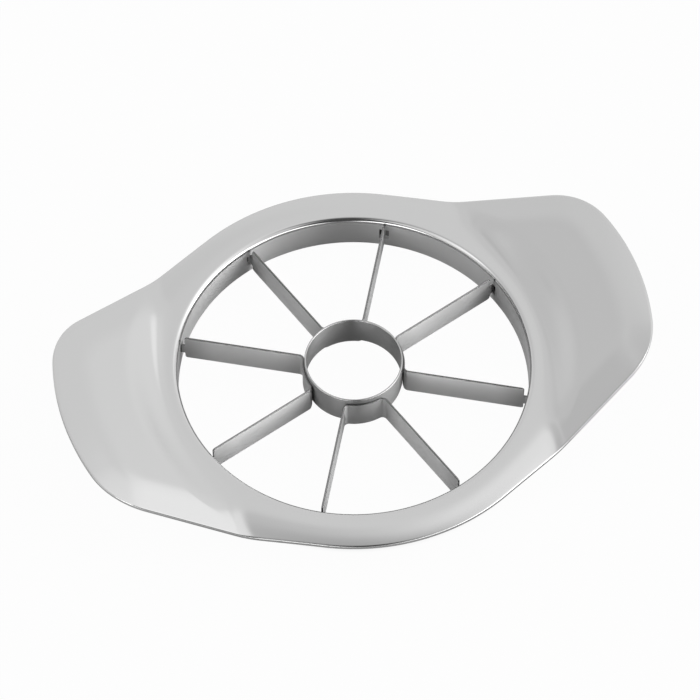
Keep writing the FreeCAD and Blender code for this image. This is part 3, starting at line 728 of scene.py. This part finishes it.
def camera_axes():
    """Unit vectors that point right, up and back, as the camera sees them."""
    flat = Vector((math.cos(CAMERA_DIRECTION), math.sin(CAMERA_DIRECTION), 0))
    back = flat * math.cos(CAMERA_ELEVATION) + UP * math.sin(CAMERA_ELEVATION)
    right = UP.cross(flat)
    return right, back.cross(right), back


def level_axes():
    """Level unit vectors that point right and away, as the camera sees them."""
    right = camera_axes()[0]
    return right, UP.cross(right)


def place_camera(collar_height):
    """The scene's camera, aimed at the land's level."""
    right, up, back = camera_axes()
    target = UP * collar_height + right * CAMERA_ASIDE + up * CAMERA_RAISED
    camera = bpy.data.objects.new("camera", bpy.data.cameras.new("camera"))
    camera.data.sensor_width = SENSOR_WIDTH
    camera.data.lens = FOCAL_PIXELS / PICTURE_PIXELS * SENSOR_WIDTH
    camera.data.clip_end = CLIP_END
    rotation = Matrix((right, up, back)).transposed()
    camera.matrix_world = Matrix.Translation(target + back * CAMERA_DISTANCE) @ rotation.to_4x4()
    bpy.context.scene.collection.objects.link(camera)
    bpy.context.scene.camera = camera


# ---------------------------------------------------------------- floor

FLOOR_SIZE = 40.0
# Share of plain white that the eye sees, and share that metal mirrors close to the slicer. The
# second grows to all of it between the near and the far distance from the axis.
WHITE_SEEN = 0.97
WHITE_MIRRORED = 0.08
NEAR_BOARD, FAR_BOARD = 70 * MM, 170 * MM
# The shadow under the sheet: from outside the collar's wall to where it has faded, round a
# centre a little behind the axis, and the share of the board's tone that is left in it.
SHADE_WALL = 48.0 * MM
SHADE_START, SHADE_END = 49.5 * MM, 57.0 * MM
SHADE_AWAY = 3.0 * MM
SHADED_SHARE = 0.35


def pale_floor(name, base):
    """Matt board in the tent's light, mixed with plain white.

    The eye sees nearly all of the white. Metal and glass see all of it far from the slicer and
    little of it close by, where the board keeps the slicer's shadow. Right behind the collar,
    under the sheet, even the eye sees the shadow, which is what shows through the slots.
    """
    material = bpy.data.materials.new(name)
    tree = fresh_tree(material)
    path = add_node(tree, "ShaderNodeLightPath").outputs
    place = add_node(tree, "ShaderNodeTexCoord").outputs["Object"]
    reach = add_node(tree, "ShaderNodeVectorMath", {0: place},
                     operation="LENGTH").outputs["Value"]

    near_to_far = add_node(tree, "ShaderNodeMapRange",
                           {"Value": reach, "From Min": NEAR_BOARD, "From Max": FAR_BOARD,
                            "To Min": WHITE_MIRRORED, "To Max": 1.0})
    mirrored = add_node(tree, "ShaderNodeMath", {0: path["Is Glossy Ray"],
                                                 1: path["Is Transmission Ray"]},
                        operation="MAXIMUM")
    mirrored = add_node(tree, "ShaderNodeMath", {0: mirrored.outputs["Value"],
                                                 1: near_to_far.outputs["Result"]},
                        operation="MULTIPLY")

    _, away = level_axes()
    from_shade = add_node(tree, "ShaderNodeVectorMath", {0: place, 1: away * SHADE_AWAY},
                          operation="DISTANCE")
    past_shade = add_node(tree, "ShaderNodeMapRange",
                          {"Value": from_shade.outputs["Value"], "From Min": SHADE_START,
                           "From Max": SHADE_END, "To Min": 0.0, "To Max": 1.0},
                          interpolation_type="SMOOTHSTEP")
    in_opening = add_node(tree, "ShaderNodeMath", {0: reach, 1: SHADE_WALL},
                          operation="LESS_THAN")
    lit = add_node(tree, "ShaderNodeMath", {0: past_shade.outputs["Result"],
                                            1: in_opening.outputs["Value"]},
                   operation="MAXIMUM").outputs["Value"]

    seen = add_node(tree, "ShaderNodeMath", {0: path["Is Camera Ray"], 1: WHITE_SEEN},
                    operation="MULTIPLY")
    share = add_node(tree, "ShaderNodeMath", {0: seen.outputs["Value"], 1: lit,
                                              2: mirrored.outputs["Value"]},
                     operation="MULTIPLY_ADD")
    depth = add_node(tree, "ShaderNodeMapRange",
                     {"Value": lit, "To Min": SHADED_SHARE, "To Max": 1.0})
    tone = add_node(tree, "ShaderNodeVectorMath", {0: base, "Scale": depth.outputs["Result"]},
                    operation="SCALE")
    matt = add_node(tree, "ShaderNodeBsdfDiffuse", {"Color": tone.outputs["Vector"]})
    white = add_node(tree, "ShaderNodeEmission", {"Color": (1, 1, 1, 1), "Strength": 1.0})
    mixed = add_node(tree, "ShaderNodeMixShader",
                     {0: share.outputs["Value"], 1: matt.outputs["BSDF"],
                      2: white.outputs["Emission"]})
    add_node(tree, "ShaderNodeOutputMaterial", {"Surface": mixed.outputs["Shader"]})
    return material


# ---------------------------------------------------------------- light

# The studio is a white tent: its level, and soft lobes that are brighter or darker than it.
# A lobe's place is (right, away, up) as the camera sees it; then come what it adds to the
# level, the angle at which it starts to fall off and the angle at which it ends, in degrees.
# The high lobes shape what the sheet mirrors, the low ones what the upright walls mirror.
TENT_LEVEL = 0.98
TENT_LOBES = [
    ("left softbox", (-0.50, -0.35, 0.79), 0.95, 12, 30),
    ("right softbox", (0.75, -0.17, 0.64), 0.88, 22, 44),
    ("open front", (0.14, -0.67, 0.73), -0.90, 23, 65),
    ("left door", (-0.99, 0.00, 0.17), -0.60, 1, 22),
    ("left wall", (-0.67, 0.10, 0.74), -0.15, 1, 40),
    ("right wall", (0.84, 0.37, 0.41), 0.12, 10, 48),
    ("back seam", (-0.28, 0.60, 0.75), -0.06, 9, 17),
    ("gap in the roof", (-0.06, 0.30, 0.95), -0.16, 1, 13),
    ("gap on the left", (-0.38, 0.23, 0.90), -0.09, 1, 7),
    ("edge light on the roof", (0.26, 0.34, 0.90), 0.24, 1, 18),
    ("edge light at the back", (0.47, 0.52, 0.71), 0.27, 1, 10),
    ("low light at the right", (0.94, -0.30, 0.12), 3.6, 8, 34),
    ("low light at the right front", (0.55, -0.83, 0.00), 3.0, 6, 27),
    ("low light at the front", (-0.35, -0.93, 0.00), 3.4, 6, 27),
    ("dark curtain at the left", (-0.85, 0.25, -0.55), -0.98, 32, 46),
]


def light_tent():
    """World light: an even white with soft lobes, each a smooth step of the angle from it."""
    world = bpy.data.worlds.new("light_tent")
    bpy.context.scene.world = world
    tree = fresh_tree(world)
    place = add_node(tree, "ShaderNodeTexCoord").outputs["Generated"]
    right, away = level_axes()
    level = TENT_LEVEL
    for _, (to_right, to_away, to_up), strength, start, end in TENT_LOBES:
        direction = (right * to_right + away * to_away + UP * to_up).normalized()
        near = add_node(tree, "ShaderNodeVectorMath", {0: place, 1: direction},
                        operation="DOT_PRODUCT")
        lobe = add_node(tree, "ShaderNodeMapRange",
                        {"Value": near.outputs["Value"],
                         "From Min": math.cos(math.radians(end)),
                         "From Max": math.cos(math.radians(start)),
                         "To Min": 0.0, "To Max": strength},
                        interpolation_type="SMOOTHERSTEP")
        level = add_node(tree, "ShaderNodeMath", {0: level, 1: lobe.outputs["Result"]},
                         operation="ADD").outputs["Value"]
    level = add_node(tree, "ShaderNodeMath", {0: level, 1: 0.0}, operation="MAXIMUM")
    sky = add_node(tree, "ShaderNodeBackground",
                   {"Color": (1, 1, 1, 1), "Strength": level.outputs["Value"]})
    add_node(tree, "ShaderNodeOutputWorld", {"Surface": sky.outputs["Background"]})


# ---------------------------------------------------------------- operators

class SLICER_OT_handle_frame(bpy.types.Operator):
    """Build the pressed frame with its wings, collar and slots"""
    bl_idname = "slicer.handle_frame"
    bl_label = "Handle frame"

    def execute(self, context):
        scene = context.scene
        sizes, finishes = scene.slicer_frame, scene.slicer_finishes
        vertices, faces, slots = frame_mesh(sizes, scene.slicer_blades)
        # Polished sheet: soft mirror images of the tent that follow every bend of the pressing.
        sheet = steel("polished_stainless_sheet", finishes.frame_steel, roughness=0.14,
                      grain_mm=0.35, grain_height_mm=0.0003)
        # Drawn wall: dull and streaked round the opening, so it shades from light to dark.
        collar = steel("drawn_stainless_collar", finishes.collar_steel, roughness=0.45,
                       grain_mm=0.35, grain_height_mm=0.0006, spread=LEVEL_GRAIN)
        piece = make_piece("pressed_frame", vertices, faces.tolist(), [sheet, collar], slots,
                           ["handle_frame"])
        return {"FINISHED"}


class SLICER_OT_core_ring(bpy.types.Operator):
    """Build the core ring with its ground edge"""
    bl_idname = "slicer.core_ring"
    bl_label = "Core ring"

    def execute(self, context):
        scene = context.scene
        finishes = scene.slicer_finishes
        vertices, faces, slots = ring_mesh(scene.slicer_blades)
        # Drawn tube, duller and darker than the blades: the dark ring in the middle.
        tube = steel("drawn_stainless_tube", finishes.core_steel, roughness=0.45,
                     grain_mm=0.3, grain_height_mm=0.0004, spread=LEVEL_GRAIN)
        # Ground edge: a fine bright line between two dark ones.
        edge = steel("ground_stainless_ring_edge", finishes.core_edge, roughness=0.12,
                     grain_mm=0.3, grain_height_mm=0.0002)
        piece = make_piece("cutting_ring", vertices, faces.tolist(), [tube, edge], slots,
                           ["core_ring"])
        return {"FINISHED"}


class SLICER_OT_blade_strips(bpy.types.Operator):
    """Build the four U-shaped blade strips"""
    bl_idname = "slicer.blade_strips"
    bl_label = "Blade strips"

    def execute(self, context):
        scene = context.scene
        sizes, blades = scene.slicer_frame, scene.slicer_blades
        finishes = scene.slicer_finishes
        # Rolled strip: satin sides, each blade in one soft tone that depends on where it faces,
        # with painted shade darkening both ends.
        strip = steel("rolled_stainless_strip_with_painted_end_shade", finishes.blade_steel, roughness=0.45,
                      grain_mm=0.3, grain_height_mm=0.0004, spread=LEVEL_GRAIN, ends_shaded=True)
        # Top edge of the blades: painted shade, a thin dark line along the top of each blade.
        edge = steel("blade_edge_painted_dark_line", finishes.blade_edge_shade, roughness=0.2,
                     grain_mm=0.3, grain_height_mm=0.0002)
        # Covered side of the tabs: dull, and painted dark as shade, so that the slots look like
        # holes.
        covered = steel("tab_side_painted_shade", finishes.covered_tab_shade, roughness=0.45,
                        grain_mm=0.3, grain_height_mm=0.0004)
        for number, node in enumerate(STRIP_NODES, start=1):
            turn = blades.strip_turn + number * FULL_TURN / STRIP_COUNT
            vertices, faces, slots = strip_mesh(sizes, blades, turn)
            piece = make_piece(f"blades_{number}", vertices, faces, [strip, edge, covered],
                               slots, [node])
        return {"FINISHED"}


class SLICER_OT_studio(bpy.types.Operator):
    """Lay the floor, hang the light tent and place the camera"""
    bl_idname = "slicer.studio"
    bl_label = "Studio"

    def execute(self, context):
        scene = context.scene
        scene.view_settings.view_transform = "Standard"
        half = FLOOR_SIZE / 2
        corners = [(-half, -half, 0), (half, -half, 0), (half, half, 0), (-half, half, 0)]
        mesh = bpy.data.meshes.new("floor")
        mesh.from_pydata(corners, [], [(0, 1, 2, 3)])
        mesh.materials.append(pale_floor("pale_board", scene.slicer_finishes.floor))
        floor = bpy.data.objects.new("floor", mesh)
        scene.collection.objects.link(floor)
        floor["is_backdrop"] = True
        light_tent()
        place_camera(scene.slicer_frame.collar_height)
        return {"FINISHED"}


OPERATORS = (SLICER_OT_handle_frame, SLICER_OT_core_ring, SLICER_OT_blade_strips,
             SLICER_OT_studio)


class SLICER_PT_sidebar(bpy.types.Panel):
    """Lists the pieces and their sizes"""
    bl_label = "Apple slicer"
    bl_idname = "SLICER_PT_sidebar"
    bl_space_type = "VIEW_3D"
    bl_region_type = "UI"
    bl_category = "Slicer"

    def draw(self, context):
        for operator in OPERATORS:
            self.layout.operator(operator.bl_idname)
        for group in (context.scene.slicer_frame, context.scene.slicer_blades,
                      context.scene.slicer_finishes):
            box = self.layout.box()
            for name in group.__annotations__:
                box.prop(group, name)


GROUPS = {"slicer_frame": FrameSizes, "slicer_blades": BladeSizes, "slicer_finishes": Finishes}


def register():
    for item in (*GROUPS.values(), *OPERATORS, SLICER_PT_sidebar):
        bpy.utils.register_class(item)
    for name, group in GROUPS.items():
        setattr(bpy.types.Scene, name, bpy.props.PointerProperty(type=group))


def unregister():
    for name in GROUPS:
        delattr(bpy.types.Scene, name)
    for item in reversed((*GROUPS.values(), *OPERATORS, SLICER_PT_sidebar)):
        bpy.utils.unregister_class(item)


def main():
    register()
    bpy.ops.slicer.handle_frame()
    bpy.ops.slicer.core_ring()
    bpy.ops.slicer.blade_strips()
    bpy.ops.slicer.studio()
    sizes = {"cad": CAD_BOUNDS, "visual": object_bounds()}
    sizes = {name: [list(corner) for corner in corners] for name, corners in sizes.items()}


if __name__ == "__main__":
    main()
